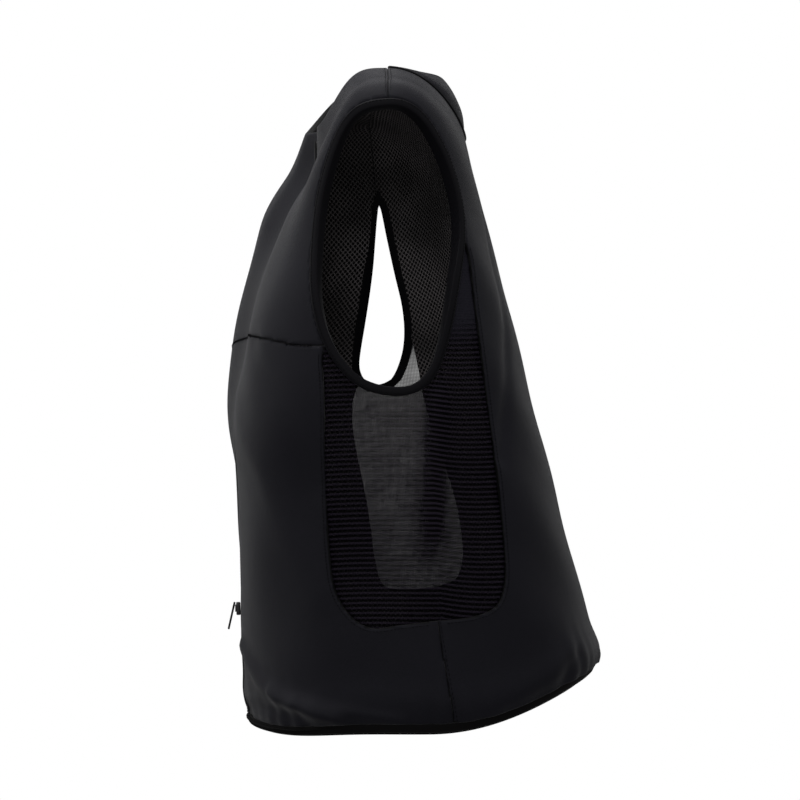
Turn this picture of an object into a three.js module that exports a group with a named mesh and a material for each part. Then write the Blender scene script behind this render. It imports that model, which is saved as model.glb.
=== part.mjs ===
import * as THREE from 'three';

// Riding vest with an air cell, worn shape, in millimetres. The front faces -Y, the wearer's
// left is +X and +Z is up. The origin is the shoulder seat, midway between the shoulder
// seams at the height of the inner face that rests on the shoulders.
const HALF_WIDTH = 186;
const HALF_DEPTH = 168;
const NECK_RISE = 601;
const SEAT_DROP = 24;
const SEAT_RISE = NECK_RISE - SEAT_DROP;
const SEAT_SET = 19;

// Layers of the wall, from the outer face inwards.
const GAP = 0.4;
const LAYER_GAP = 0.8;
const SHELL = 6.2;
const LINING = 3;
const WALL = SHELL + LAYER_GAP + LINING;
const MESH = 1.2;
const MESH_SET = 2.6;

// Trim.
const BINDING_WIDE = 8;
const BINDING_PROUD = 0.7;
const BINDING_THIN = 5;
const BAND_SET = 2.5;
const BAND = 4;
const ZIP_HALF = 7;
const CHAIN_HALF = 2.7;
const CHAIN = 2.6;
const TAPE = 1.2;
const COLLAR_DEEP = 38;
const COLLAR_TALL = 60;
const COLLAR_LIFT = 1;

// Drape: the fronts dip at the zip, and the wearer's right front hangs fuller than the left
// and lies further back at the side.
const ZIP_DIP = 9;
const DRAPE_FULL = 17;
const DRAPE_HIGH = 11;
const DRAPE_BACK = 40;

// Spacing of the flat pattern's grid and of its outline points.
const TURN_STEP = 10;
const RING_STEP = 0.5;
const OUTLINE_STEP = 20;

// Level rings of the body form, hem to neck. Width is a share of HALF_WIDTH, the middle,
// front and back are shares of HALF_DEPTH and the three rises are shares of NECK_RISE.
// The last columns square the front and back corners and set how the back rise eases.
const RINGS = [
  // width middle  front   back  riseF  riseS  riseB  sqF   sqB  ease
  [0.957, 0.083, -0.839, 1.024, -0.015, 0.000, 0.057, 0.04, 0.10, 4],
  [0.989, 0.095, -0.863, 1.107, 0.000, 0.018, 0.083, 0.04, 0.10, 4],
  [1.000, 0.071, -0.893, 1.048, 0.133, 0.141, 0.163, 0.06, 0.10, 4],
  [0.989, 0.036, -0.911, 0.899, 0.308, 0.308, 0.308, 0.14, 0.10, 4],
  [0.968, -0.012, -0.935, 0.774, 0.446, 0.453, 0.449, 0.30, 0.12, 4],
  [0.946, -0.048, -0.896, 0.649, 0.574, 0.574, 0.579, 0.32, 0.12, 4],
  [0.892, -0.095, -0.818, 0.542, 0.680, 0.740, 0.699, 0.19, 0.10, 4],
  [0.806, -0.131, -0.682, 0.440, 0.770, 0.935, 0.809, 0.19, 0.08, 3],
  [0.629, -0.119, -0.515, 0.393, 0.850, 0.978, 0.859, 0.19, 0.06, 2],
  [0.430, -0.107, -0.498, 0.363, 0.918, 1.000, 0.903, 0.22, 0.06, 2],
];
const NECK_RING = RINGS.length - 1;

// Pattern lines of each side as turn in degrees from the front and ring number.
const LEFT_LINES = {
  hand: 1,
  chest: [[0, 5.17], [20, 5.15], [40, 5.08], [56, 5]],
  armhole: [
    [90.5, 6.95], [74.5, 6.87], [65.1, 6.65], [60.4, 6.3], [61.2, 5.75], [65.4, 5.28],
    [72, 4.86], [79, 4.58], [88, 4.5], [96.5, 4.67], [104, 5.07], [113, 5.62],
    [121, 6.1], [123.4, 6.42], [118.5, 6.71], [105.5, 6.92],
  ],
  meshFront: [
    [92.5, 2.19], [81.7, 2.15], [72.7, 2.12], [66.4, 2.23], [62, 2.45], [61.2, 2.75],
    [62.2, 3.2], [64.6, 3.65], [66.5, 4.1], [66.5, 4.6], [66, 4.9], [70, 5.3],
  ],
  meshBack: [
    [92.5, 2.19], [103, 2.21], [110.5, 2.28], [114.2, 2.43], [116.4, 2.65], [117.8, 3],
    [118.5, 3.4], [119.8, 4], [121.8, 4.8], [124.6, 5.6], [125.7, 5.95], [122.5, 6.2],
  ],
};
const RIGHT_LINES = {
  hand: -1,
  chest: [[0, 5.17], [20, 5.09], [40, 4.86], [56, 4.54]],
  armhole: [
    [92.5, 6.39], [85.8, 6.14], [78.5, 5.8], [74.5, 5.46], [72.4, 5.08], [72.2, 4.78],
    [76, 4.6], [84, 4.56], [92, 4.68], [98.9, 4.95], [102.6, 5.23], [103.1, 5.51],
    [100.8, 5.8], [97.2, 6.14],
  ],
  meshFront: [
    [92.5, 2.19], [84, 2.2], [77, 2.28], [72.2, 2.52], [69.2, 2.9], [67.8, 3.4],
    [68, 4], [69.4, 4.4], [74, 4.75],
  ],
  meshBack: [
    [92.5, 2.19], [103, 2.21], [110.5, 2.28], [114.2, 2.43], [116, 2.65], [116.3, 3],
    [114.2, 3.4], [110.8, 3.8], [108.3, 4.3], [107.6, 4.8], [106, 5.15], [101, 5.4],
  ],
};
const SIDE_SEAM_FOOT = 95.6;

// Section of the collar roll as shares of COLLAR_DEEP inwards and COLLAR_TALL upwards,
// at the back of the neck and at the shoulder seams.
const COLLAR_BACK = [
  [0, 0.01], [0, 0.3], [0.1, 0.52], [0.3, 0.78], [0.55, 0.97], [0.8, 0.94],
  [0.93, 0.72], [0.72, 0.42], [0.42, 0.14], [0.24, 0],
];
const COLLAR_SIDE = [
  [0, 0], [0.03, 0.02], [0.12, 0.03], [0.28, 0.02], [0.42, -0.02], [0.5, -0.09],
  [0.5, -0.17], [0.4, -0.22], [0.24, -0.22], [0.08, -0.17],
];

function eased(rows, place, cyclic = false) {
  const n = rows.length;
  const i = cyclic ? Math.floor(place) : Math.min(Math.max(Math.floor(place), 0), n - 2);
  const f = place - i;
  const row = (k) => {
    if (cyclic) return rows[(k + n) % n];
    if (k < 0) return rows[0].map((x, c) => 2 * x - rows[1][c]);
    if (k >= n) return rows[n - 1].map((x, c) => 2 * x - rows[n - 2][c]);
    return rows[k];
  };
  const [a, b, c, d] = [row(i - 1), row(i), row(i + 1), row(i + 2)];
  return b.map((_, k) => {
    const lin = c[k] - a[k];
    const sq = 2 * a[k] - 5 * b[k] + 4 * c[k] - d[k];
    const cu = 3 * b[k] - a[k] - 3 * c[k] + d[k];
    return 0.5 * (2 * b[k] + lin * f + sq * f * f + cu * f * f * f);
  });
}

// Outer face of the form at a turn and ring.
function face(turn, ring) {
  const [width, middle, front, back, riseF, riseS, riseB, sqF, sqB, ease] = eased(RINGS, ring);
  const a = THREE.MathUtils.degToRad(turn);
  const s = Math.sin(a);
  const c = Math.cos(a);
  const square = c > 0 ? sqF : sqB;
  const across = s * (1 + square * c * c);
  const along = c * (1 + square * s * s);
  const t = Math.abs(s) ** 3;
  const climb = c > 0 ? t * t * (3 - 2 * t) : Math.abs(s) ** ease;
  const low = c > 0 ? riseF : riseB;
  const reach = c > 0 ? middle - front : back - middle;
  let y = (middle - reach * along) * HALF_DEPTH;
  const right = ((turn % 360) + 360) % 360;
  const apart = Math.min(right, 360 - right);
  y += ZIP_DIP * Math.exp(-((apart / 13) ** 2)) * THREE.MathUtils.smoothstep(ring, 3.6, 6);
  if (s < 0) {
    const full = Math.exp(-(((right - 326) / 24) ** 2) - ((ring - 6.2) / 2.9) ** 4);
    const high = Math.exp(-(((right - 322) / 24) ** 2) - ((ring - 7.6) / 1.3) ** 2);
    const slack = Math.exp(-(((right - 293) / 20) ** 2) - ((ring - 4.4) / 2.6) ** 4);
    const drape = DRAPE_BACK * slack - DRAPE_FULL * full - DRAPE_HIGH * high;
    y += drape * THREE.MathUtils.smoothstep(-s, 0, 0.4);
  }
  const z = (low + (riseS - low) * climb) * NECK_RISE;
  return new THREE.Vector3(width * HALF_WIDTH * across, y + SEAT_SET, z - SEAT_RISE);
}

function frame(turn, ring) {
  const right = face(turn + 0.5, ring).sub(face(turn - 0.5, ring));
  const up = face(turn, ring + 0.02).sub(face(turn, ring - 0.02)).multiplyScalar(25);
  const out = right.clone().cross(up).normalize();
  return { right, up, out };
}

function sunk(turn, ring, depth) {
  return face(turn, ring).addScaledVector(frame(turn, ring).out, -depth);
}

// Curve through pattern points, evenly spaced on the form.
function curve(rows, closed = false, step = OUTLINE_STEP) {
  const spans = closed ? rows.length : rows.length - 1;
  const fine = [];
  for (let i = 0; i <= spans * 16; i += 1) fine.push(eased(rows, i / 16, closed));
  return evenly(fine, closed, step);
}

function evenly(points, closed, step = OUTLINE_STEP) {
  const run = [0];
  for (let i = 1; i < points.length; i += 1) {
    run.push(run[i - 1] + face(...points[i]).distanceTo(face(...points[i - 1])));
  }
  const total = run[run.length - 1];
  const count = Math.max(1, Math.round(total / step));
  const spaced = [];
  let i = 0;
  for (let k = 0; k < (closed ? count : count + 1); k += 1) {
    const want = (total * k) / count;
    while (i < points.length - 2 && run[i + 1] < want) i += 1;
    const f = Math.min(1, (want - run[i]) / (run[i + 1] - run[i]));
    spaced.push(points[i].map((x, c) => x + f * (points[i + 1][c] - x)));
  }
  return spaced;
}

// Pattern outline moved sideways by a distance in millimetres; outwards is positive.
function moved(points, distance, closed = true) {
  const n = points.length;
  return points.map((p, i) => {
    const { right, up, out } = frame(...p);
    const x = right.clone().normalize();
    const y = out.clone().cross(x);
    const m = [right.dot(x), up.dot(x), right.dot(y), up.dot(y)];
    const flat = (d) => [m[0] * d[0] + m[1] * d[1], m[2] * d[0] + m[3] * d[1]];
    const edge = (from, to) => {
      const d = flat([to[0] - from[0], to[1] - from[1]]);
      const size = Math.hypot(...d) || 1;
      return [d[1] / size, -d[0] / size];
    };
    const before = closed || i > 0 ? edge(points[(i + n - 1) % n], p) : null;
    const after = closed || i < n - 1 ? edge(p, points[(i + 1) % n]) : null;
    const one = before || after;
    const two = after || before;
    const sum = [one[0] + two[0], one[1] + two[1]];
    const grow = distance / Math.max(0.5, 1 + one[0] * two[0] + one[1] * two[1]);
    const d = [sum[0] * grow, sum[1] * grow];
    const det = m[0] * m[3] - m[1] * m[2];
    return [
      p[0] + (m[3] * d[0] - m[1] * d[1]) / det,
      p[1] + (m[0] * d[1] - m[2] * d[0]) / det,
    ];
  });
}

// Where a path first crosses a line of points: place on the path and on the line.
function crossing(path, line) {
  for (let i = 0; i < path.length - 1; i += 1) {
    for (let j = 0; j < line.length - 1; j += 1) {
      const [a, b, c, d] = [path[i], path[i + 1], line[j], line[j + 1]];
      const r = [b[0] - a[0], b[1] - a[1]];
      const s = [d[0] - c[0], d[1] - c[1]];
      const det = r[0] * s[1] - r[1] * s[0];
      if (Math.abs(det) < 1e-12) continue;
      const t = ((c[0] - a[0]) * s[1] - (c[1] - a[1]) * s[0]) / det;
      const w = ((c[0] - a[0]) * r[1] - (c[1] - a[1]) * r[0]) / det;
      if (t >= 0 && t <= 1 && w >= 0 && w <= 1) return { path: i + t, line: j + w };
    }
  }
  throw new Error('pattern lines do not meet');
}

function pick(line, place) {
  const i = Math.min(Math.floor(place), line.length - 2);
  return line[i].map((x, c) => x + (place - i) * (line[i + 1][c] - x));
}

function stretch(line, from, to, step = 0) {
  const between = [];
  for (let i = Math.ceil(from + 0.1); i <= to - 0.1; i += 1) between.push(line[i]);
  const points = [pick(line, from), ...between, pick(line, to)];
  return step ? evenly(points, false, step) : points;
}

// One outline from stretches that meet end to end.
function joined(...parts) {
  return parts.flatMap((part) => part.slice(0, -1));
}

// The part of a simple outline on one side of a grid line, as simple outlines.
function oneSide(outline, axis, level, sign) {
  const off = outline.map((p) => {
    const d = p[axis] - level;
    return sign * (Math.abs(d) < 1e-9 ? 1e-9 : d);
  });
  if (off.every((d) => d > 0)) return [outline];
  if (off.every((d) => d < 0)) return [];
  const n = outline.length;
  const cuts = [];
  const chains = [];
  let chain = null;
  const start = off.findIndex((d, i) => d < 0 && off[(i + 1) % n] > 0);
  for (let k = 0; k < n; k += 1) {
    const i = (start + k) % n;
    const j = (i + 1) % n;
    if (off[i] < 0 === off[j] < 0) {
      if (chain) chain.points.push(outline[j]);
      continue;
    }
    const f = off[i] / (off[i] - off[j]);
    const point = outline[i].map((x, c) => x + f * (outline[j][c] - x));
    point[axis] = level;
    const cut = { point, at: point[1 - axis] };
    cuts.push(cut);
    if (off[j] > 0) {
      chain = { first: cut, points: [point, outline[j]] };
      chains.push(chain);
      cut.chain = chain;
    } else {
      chain.points.push(point);
      chain.last = cut;
      chain = null;
    }
  }
  cuts.sort((a, b) => a.at - b.at);
  const loops = [];
  while (chains.some((c) => !c.used)) {
    let current = chains.find((c) => !c.used);
    const loop = [];
    while (!current.used) {
      current.used = true;
      loop.push(...current.points);
      const place = cuts.indexOf(current.last);
      current = cuts[place % 2 ? place - 1 : place + 1].chain;
    }
    loops.push(loop);
  }
  return loops;
}

function gridLines(low, high, first, step) {
  const lines = [];
  const start = first + step * Math.ceil((low - first) / step);
  for (let x = start; x < high; x += step) lines.push(x);
  return lines;
}

function sliced(outlines, axis, lines) {
  const done = [];
  let rest = outlines;
  for (const level of lines) {
    done.push(...rest.flatMap((o) => oneSide(o, axis, level, -1)));
    rest = rest.flatMap((o) => oneSide(o, axis, level, 1));
  }
  return [...done, ...rest];
}

// A pattern piece cut on the grid and laid on the form between two depths.
function draped(outline, outer, inner) {
  const turns = outline.map((p) => p[0]);
  const rings = outline.map((p) => p[1]);
  const upright = gridLines(Math.min(...turns), Math.max(...turns), TURN_STEP / 2, TURN_STEP);
  const level = gridLines(Math.min(...rings), Math.max(...rings), RING_STEP / 2, RING_STEP);
  const cells = sliced(sliced([outline], 0, upright), 1, level);
  const places = [];
  const index = new Map();
  const number = (p) => {
    const key = `${Math.round(p[0] * 1e4)} ${Math.round(p[1] * 1e5)}`;
    if (!index.has(key)) {
      index.set(key, places.length);
      places.push(p);
    }
    return index.get(key);
  };
  const faces = [];
  for (const cell of cells) {
    const ids = cell.map(number).filter((id, i, all) => id !== all[(i + 1) % all.length]);
    if (ids.length < 3) continue;
    const flat = ids.map((id) => new THREE.Vector2(places[id][0] / 20, places[id][1]));
    for (const tri of THREE.ShapeUtils.triangulateShape(flat, [])) {
      const [a, b, c] = tri.map((k) => flat[k]);
      const area = (b.x - a.x) * (c.y - a.y) - (b.y - a.y) * (c.x - a.x);
      const f = tri.map((k) => ids[k]);
      faces.push(area > 0 ? f : [f[0], f[2], f[1]]);
    }
  }
  const n = places.length;
  const points = [
    ...places.map((p) => sunk(p[0], p[1], outer)),
    ...places.map((p) => sunk(p[0], p[1], inner)),
  ];
  const used = new Set(faces.flatMap(([a, b, c]) => [`${a} ${b}`, `${b} ${c}`, `${c} ${a}`]));
  const solid = [];
  for (const [a, b, c] of faces) {
    solid.push(a, b, c, n + c, n + b, n + a);
    for (const [p, q] of [[a, b], [b, c], [c, a]]) {
      if (!used.has(`${q} ${p}`)) solid.push(q, p, n + p, q, n + p, n + q);
    }
  }
  return geometry(points, solid);
}

function geometry(points, faces) {
  const shape = new THREE.BufferGeometry();
  const flat = points.flatMap((p) => [p.x, p.y, p.z]);
  shape.setAttribute('position', new THREE.Float32BufferAttribute(flat, 3));
  shape.setIndex(faces);
  shape.computeVertexNormals();
  return shape;
}

// A skin over sections of equal count; open lofts get end caps.
function loft(sections, closed) {
  const n = sections[0].length;
  const count = sections.length;
  const faces = [];
  for (let i = 0; i < (closed ? count : count - 1); i += 1) {
    const j = (i + 1) % count;
    for (let k = 0; k < n; k += 1) {
      const m = (k + 1) % n;
      faces.push(i * n + k, j * n + k, j * n + m, i * n + k, j * n + m, i * n + m);
    }
  }
  if (!closed) {
    const cap = THREE.ShapeUtils.triangulateShape(flatten(sections[0]), []);
    const last = (count - 1) * n;
    for (const [a, b, c] of cap) faces.push(a, b, c, last + c, last + b, last + a);
  }
  return geometry(sections.flat(), faces);
}

function flatten(section) {
  const across = section[Math.floor(section.length / 2)].clone().sub(section[0]).normalize();
  const arm = section[Math.floor(section.length / 4)].clone().sub(section[0]);
  const out = arm.clone().cross(across).normalize();
  const up = out.clone().cross(across);
  return section.map((p) => {
    const d = p.clone().sub(section[0]);
    return new THREE.Vector2(d.dot(across), d.dot(up));
  });
}

// Turns a loft or piece right side out if its volume came out negative.
function facingOut(shape) {
  const p = shape.attributes.position;
  const ids = shape.index.array;
  const [a, b, c] = [new THREE.Vector3(), new THREE.Vector3(), new THREE.Vector3()];
  let volume = 0;
  for (let i = 0; i < ids.length; i += 3) {
    a.fromBufferAttribute(p, ids[i]);
    b.fromBufferAttribute(p, ids[i + 1]);
    c.fromBufferAttribute(p, ids[i + 2]);
    volume += a.dot(b.clone().cross(c));
  }
  if (volume < 0) {
    const turned = Array.from(ids);
    for (let i = 0; i < turned.length; i += 3) {
      [turned[i], turned[i + 1]] = [turned[i + 1], turned[i]];
    }
    shape.setIndex(turned);
    shape.computeVertexNormals();
  }
  return shape;
}

const clear = (outline) => moved(outline, -GAP / 2);
const handed = (rows, hand) => rows.map(([turn, ring]) => [turn * hand, ring]);

// Places along an armhole that its binding and the panels round it share.
function stations(lines) {
  return curve(handed(lines.armhole, lines.hand), true, OUTLINE_STEP * 0.6);
}

// Binding round an armhole: its section lies between the armhole edge and the panels.
function binding(lines) {
  const inner = stations(lines);
  const outer = moved(inner, BINDING_WIDE * lines.hand);
  const sections = inner.map((p, i) => {
    const thin = THREE.MathUtils.smoothstep(5.35 - p[1], 0, 0.6);
    const floor = THREE.MathUtils.lerp(WALL + BINDING_PROUD, BINDING_THIN, thin);
    const ridge = (share, depth) => {
      const at = inner[i].map((x, c) => x + share * (outer[i][c] - x));
      return sunk(at[0], at[1], depth);
    };
    return [
      ridge(0, 1), ridge(0.15, -BINDING_PROUD), ridge(0.85, -BINDING_PROUD), ridge(1, 1),
      ridge(1, floor - 1), ridge(0.85, floor), ridge(0.15, floor), ridge(0, floor - 1),
    ];
  });
  return facingOut(loft(sections, true));
}

function collar() {
  const sections = [];
  for (let k = 0; k <= 20; k += 1) {
    const turn = THREE.MathUtils.lerp(91, 269, k / 20);
    const foot = face(turn, NECK_RING);
    const full = (SEAT_DROP + COLLAR_LIFT - foot.z) / COLLAR_TALL;
    const inward = frame(turn, NECK_RING).right.cross(new THREE.Vector3(0, 0, -1)).normalize();
    sections.push(COLLAR_BACK.map(([deep, tall], i) => {
        const [sideDeep, sideTall] = COLLAR_SIDE[i];
      const d = THREE.MathUtils.lerp(sideDeep, deep, full) * COLLAR_DEEP + GAP * 2.5;
      const h = (full * tall + (1 - full) * sideTall) * COLLAR_TALL;
      return foot.clone().addScaledVector(inward, d).add(new THREE.Vector3(0, 0, h));
    }));
  }
  return facingOut(loft(sections, false));
}

function zipTurn(distance, ring) {
  return distance / frame(0, ring).right.length();
}

function zipEdge(distance, from, to) {
  const line = [];
  for (let k = 0; k <= 24; k += 1) {
    const ring = from + ((to - from) * k) / 24;
    line.push([zipTurn(distance, ring), ring]);
  }
  return evenly(line, false);
}

function zipStrip(from, to) {
  return joined(
    zipEdge(to, 1, NECK_RING),
    [[zipTurn(to, NECK_RING), NECK_RING], [zipTurn(from, NECK_RING), NECK_RING]],
    zipEdge(from, NECK_RING, 1),
    [[zipTurn(from, 1), 1], [zipTurn(to, 1), 1]],
  );
}

// A block standing on the zip, its size given across, up and out.
function zipBlock(size, ring, lift, lean) {
  const { up, out } = frame(0, ring);
  const block = new THREE.BoxGeometry(size[0], size[1], size[2], 1, 1, 1);
  const y = up.clone().normalize();
  const turn = new THREE.Matrix4().makeBasis(new THREE.Vector3(1, 0, 0), y, out);
  block.translate(0, -size[1] / 2, size[2] / 2);
  block.rotateX(lean);
  block.applyMatrix4(turn);
  block.translate(...face(0, ring).addScaledVector(out, lift).toArray());
  return block;
}

const group = new THREE.Group();
const SHADES = { shell: 0x1e1d22, lining: 0x151417, mesh: 0x121117, trim: 0x141316, metal: 0x3a3a3e };

function add(name, shape, shade) {
  const finish = new THREE.MeshStandardMaterial({ color: SHADES[shade], roughness: 0.8 });
  const mesh = new THREE.Mesh(shape, finish);
  mesh.name = name;
  group.add(mesh);
}

const backwards = (line) => [...line].reverse();

// Pattern pieces of one side, cut from its lines.
function cutSide(lines) {
  const { hand } = lines;
  const edge = moved(stations(lines), (BINDING_WIDE + GAP) * hand);
  const loop = [...edge, edge[0]];
  const twice = [...loop, ...edge.slice(1)];
  const meshFront = curve(handed(lines.meshFront, hand), false, 5);
  const meshBack = curve(handed(lines.meshBack, hand), false, 5);
  const frontMeet = crossing(meshFront, loop);
  const backMeet = crossing(meshBack, loop);
  let top = crossing([[90 * hand, 8.5], [90 * hand, 6.2]], loop).line;
  if (top > edge.length / 2) top -= edge.length;
  const wrap = top < 0 ? edge.length : 0;
  const armFront = stretch(twice, top + wrap, frontMeet.line + wrap);
  const armLow = stretch(twice, frontMeet.line, backMeet.line);
  const armBack = stretch(twice, backMeet.line, top + edge.length);
  const meshFrontSide = stretch(meshFront, 0, frontMeet.path, OUTLINE_STEP);
  const meshBackSide = stretch(meshBack, 0, backMeet.path, OUTLINE_STEP);
  const chest = curve([...handed(lines.chest, hand), armFront[armFront.length - 1]], false);
  chest[0] = [zipTurn(ZIP_HALF * hand, chest[0][1]), chest[0][1]];
  const foot = [SIDE_SEAM_FOOT * hand, 1];
  const sideSeam = [foot, meshFront[0]];
  const frontHem = [[zipTurn(ZIP_HALF * hand, 1), 1], foot];
  const shoulderSeam = [[90 * hand, NECK_RING], armFront[0]];
  const neckFront = [
    [90 * hand, NECK_RING], [zipTurn(ZIP_HALF * hand, NECK_RING), NECK_RING],
  ];
  const zipSide = (from, to) => zipEdge(ZIP_HALF * hand, from, to);
  const turned = (outline) => (hand > 0 ? outline : backwards(outline));
  return {
    panel: turned(joined(
      frontHem, sideSeam, meshFrontSide, backwards(chest), zipSide(chest[0][1], 1),
    )),
    yoke: turned(joined(
      chest, backwards(armFront), backwards(shoulderSeam), neckFront,
      zipSide(NECK_RING, chest[0][1]),
    )),
    whole: turned(joined(
      frontHem, sideSeam, meshFrontSide, backwards(armFront), backwards(shoulderSeam),
      neckFront, zipSide(NECK_RING, 1),
    )),
    mesh: turned(joined(backwards(meshFrontSide), meshBackSide, backwards(armLow))),
    backEdge: [
      ...shoulderSeam, ...backwards(armBack.slice(0, -1)),
      ...backwards(meshBackSide.slice(0, -1)), foot,
    ],
  };
}

const left = cutSide(LEFT_LINES);
const right = cutSide(RIGHT_LINES);
const rightEdge = backwards(right.backEdge).map(([turn, ring]) => [360 + turn, ring]);
const backPanel = joined(
  left.backEdge, [left.backEdge[left.backEdge.length - 1], rightEdge[0]], rightEdge,
  [rightEdge[rightEdge.length - 1], left.backEdge[0]],
);

add('back_panel', draped(clear(backPanel), 0, SHELL), 'shell');
add('back_lining', draped(clear(moved(backPanel, -GAP)), SHELL + LAYER_GAP, WALL), 'lining');
for (const [lines, side, word] of [[LEFT_LINES, left, 'left'], [RIGHT_LINES, right, 'right']]) {
  const within = clear(moved(side.whole, -GAP));
  add(`front_panel_${word}`, draped(clear(side.panel), 0, SHELL), 'shell');
  add(`front_yoke_${word}`, draped(clear(side.yoke), 0, SHELL), 'shell');
  add(`front_lining_${word}`, draped(within, SHELL + LAYER_GAP, WALL), 'lining');
  add(`side_mesh_${word}`, draped(clear(side.mesh), MESH_SET, MESH_SET + MESH), 'mesh');
  add(`armhole_binding_${word}`, binding(lines), 'trim');
  const strip = clear(zipStrip(CHAIN_HALF + GAP / 2, ZIP_HALF));
  const tape = lines.hand > 0 ? strip : backwards(handed(strip, -1));
  add(`zip_tape_${word}`, draped(tape, TAPE, 2 * TAPE), 'trim');
}
add('collar', collar(), 'shell');

const bandTop = zipTurn(CHAIN_HALF, 1);
add('hem_band', draped(clear(joined(
  [[bandTop, 0], [180, 0]], [[180, 0], [360 - bandTop, 0]],
  [[360 - bandTop, 0], [360 - bandTop, 1]],
  [[360 - bandTop, 1], [180, 1]], [[180, 1], [bandTop, 1]],
  [[bandTop, 1], [bandTop, 0]],
)), BAND_SET, BAND_SET + BAND), 'trim');

add('zip_chain', draped(clear(zipStrip(-CHAIN_HALF, CHAIN_HALF)), 0, CHAIN), 'trim');
const LOW_SLIDER_RING = 2.25;
const TOP_SLIDER_RING = NECK_RING - 0.25;
const SLIDER = [9, 12, 4];
const PULL = [6, 26, 1.8];
const PULL_LEAN = { low: -0.25, top: 0 };
for (const [word, ring] of [['low', LOW_SLIDER_RING], ['top', TOP_SLIDER_RING]]) {
  const lift = SLIDER[2] + GAP * 2.5;
  add(`zip_slider_${word}`, zipBlock(SLIDER, ring, GAP * 1.25, 0), 'metal');
  add(`zip_pull_${word}`, zipBlock(PULL, ring, lift, PULL_LEAN[word]), 'trim');
}

export default group;
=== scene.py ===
import math

import bmesh
import bpy
import numpy as np
from mathutils import Matrix, Vector


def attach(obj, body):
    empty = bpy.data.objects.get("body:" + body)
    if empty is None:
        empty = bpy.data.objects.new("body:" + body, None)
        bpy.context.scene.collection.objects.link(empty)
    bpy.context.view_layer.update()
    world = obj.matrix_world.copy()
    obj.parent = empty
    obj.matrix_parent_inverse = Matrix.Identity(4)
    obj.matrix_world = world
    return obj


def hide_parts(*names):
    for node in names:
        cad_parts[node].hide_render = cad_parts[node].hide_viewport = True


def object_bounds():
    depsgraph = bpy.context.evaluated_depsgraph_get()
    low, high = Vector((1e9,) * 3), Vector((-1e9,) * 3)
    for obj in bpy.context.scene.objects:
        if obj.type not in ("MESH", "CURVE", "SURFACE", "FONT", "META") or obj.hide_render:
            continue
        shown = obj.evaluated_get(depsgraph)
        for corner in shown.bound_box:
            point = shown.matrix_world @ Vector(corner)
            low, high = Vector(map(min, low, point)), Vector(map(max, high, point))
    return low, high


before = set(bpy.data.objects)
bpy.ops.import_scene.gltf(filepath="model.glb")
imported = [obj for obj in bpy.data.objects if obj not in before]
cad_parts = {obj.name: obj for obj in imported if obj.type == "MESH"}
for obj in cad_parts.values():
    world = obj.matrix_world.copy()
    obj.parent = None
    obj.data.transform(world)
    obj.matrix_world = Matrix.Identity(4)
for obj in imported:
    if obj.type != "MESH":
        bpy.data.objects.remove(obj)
cad_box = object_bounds()

# Studio. A white sweep with a large softbox overhead and paler ones at the front, the back and
# the wearer's left, the way clothing is shot for a catalogue. The vest is held up at chest
# height, clear of the floor.
scene = bpy.context.scene
scene.view_settings.view_transform = "Standard"
scene.view_settings.look = "None"

world = bpy.data.worlds.new("sweep")
scene.world = world
world.use_nodes = True
sky = world.node_tree.nodes["Background"]
sky.inputs["Color"].default_value = (1, 1, 1, 1)
ray = world.node_tree.nodes.new("ShaderNodeLightPath")
glow = world.node_tree.nodes.new("ShaderNodeMapRange")
glow.inputs["To Min"].default_value = 0.19
glow.inputs["To Max"].default_value = 1.0
world.node_tree.links.new(ray.outputs["Is Camera Ray"], glow.inputs["Value"])
world.node_tree.links.new(glow.outputs["Result"], sky.inputs["Strength"])

FLOOR_RADIUS, FLOOR_DROP = 1.1, 0.3
floor_mesh = bpy.data.meshes.new("floor")
bm = bmesh.new()
bmesh.ops.create_circle(bm, cap_ends=True, segments=96, radius=FLOOR_RADIUS)
bmesh.ops.translate(bm, verts=bm.verts, vec=(0, 0, cad_box[0][2] - FLOOR_DROP))
bm.to_mesh(floor_mesh)
bm.free()
floor = bpy.data.objects.new("floor", floor_mesh)
scene.collection.objects.link(floor)
paper = bpy.data.materials.new("paper_sweep")
paper.use_nodes = True
paper_look = paper.node_tree.nodes["Principled BSDF"].inputs
paper_look["Base Color"].default_value = (0.8, 0.8, 0.8, 1)
paper_look["Roughness"].default_value = 0.9
paper_look["Emission Color"].default_value = (1, 1, 1, 1)
paper_look["Emission Strength"].default_value = 0.7
floor_mesh.materials.append(paper)
floor.visible_diffuse = False
floor.visible_glossy = False

for name, place, aim, size, power in (
    ("softbox_top", (0.0, -0.2, 1.7), (0, 0, -0.1), 1.8, 38),
    ("softbox_front", (-0.5, -2.9, 0.9), (0, 0, -0.1), 1.4, 26),
    ("softbox_back", (0.6, 2.8, 0.9), (0, 0.1, -0.1), 1.4, 6),
    ("softbox_side", (2.9, -0.5, 0.1), (0, 0, -0.3), 1.6, 15),
):
    lamp = bpy.data.lights.new(name, "AREA")
    lamp.shape = "DISK"
    lamp.size = size
    lamp.energy = power
    light = bpy.data.objects.new(name, lamp)
    scene.collection.objects.link(light)
    light.location = place
    light.rotation_euler = (Vector(aim) - Vector(place)).to_track_quat("-Z", "Y").to_euler()

CAMERA_TURN = math.radians(4.5)
CAMERA_AWAY = 2.4
CAMERA_AIM = Vector((0, 0.019, -0.281))
HALF_VIEW = 0.38
SENSOR = 36
camera = bpy.data.objects.new("camera", bpy.data.cameras.new("camera"))
scene.collection.objects.link(camera)
scene.camera = camera
camera.data.sensor_width = SENSOR
camera.data.lens = SENSOR / 2 * CAMERA_AWAY / HALF_VIEW
sight = Vector((math.cos(CAMERA_TURN), -math.sin(CAMERA_TURN), 0))
camera.location = CAMERA_AIM + CAMERA_AWAY * sight
camera.rotation_euler = (CAMERA_AIM - camera.location).to_track_quat("-Z", "Y").to_euler()

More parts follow.
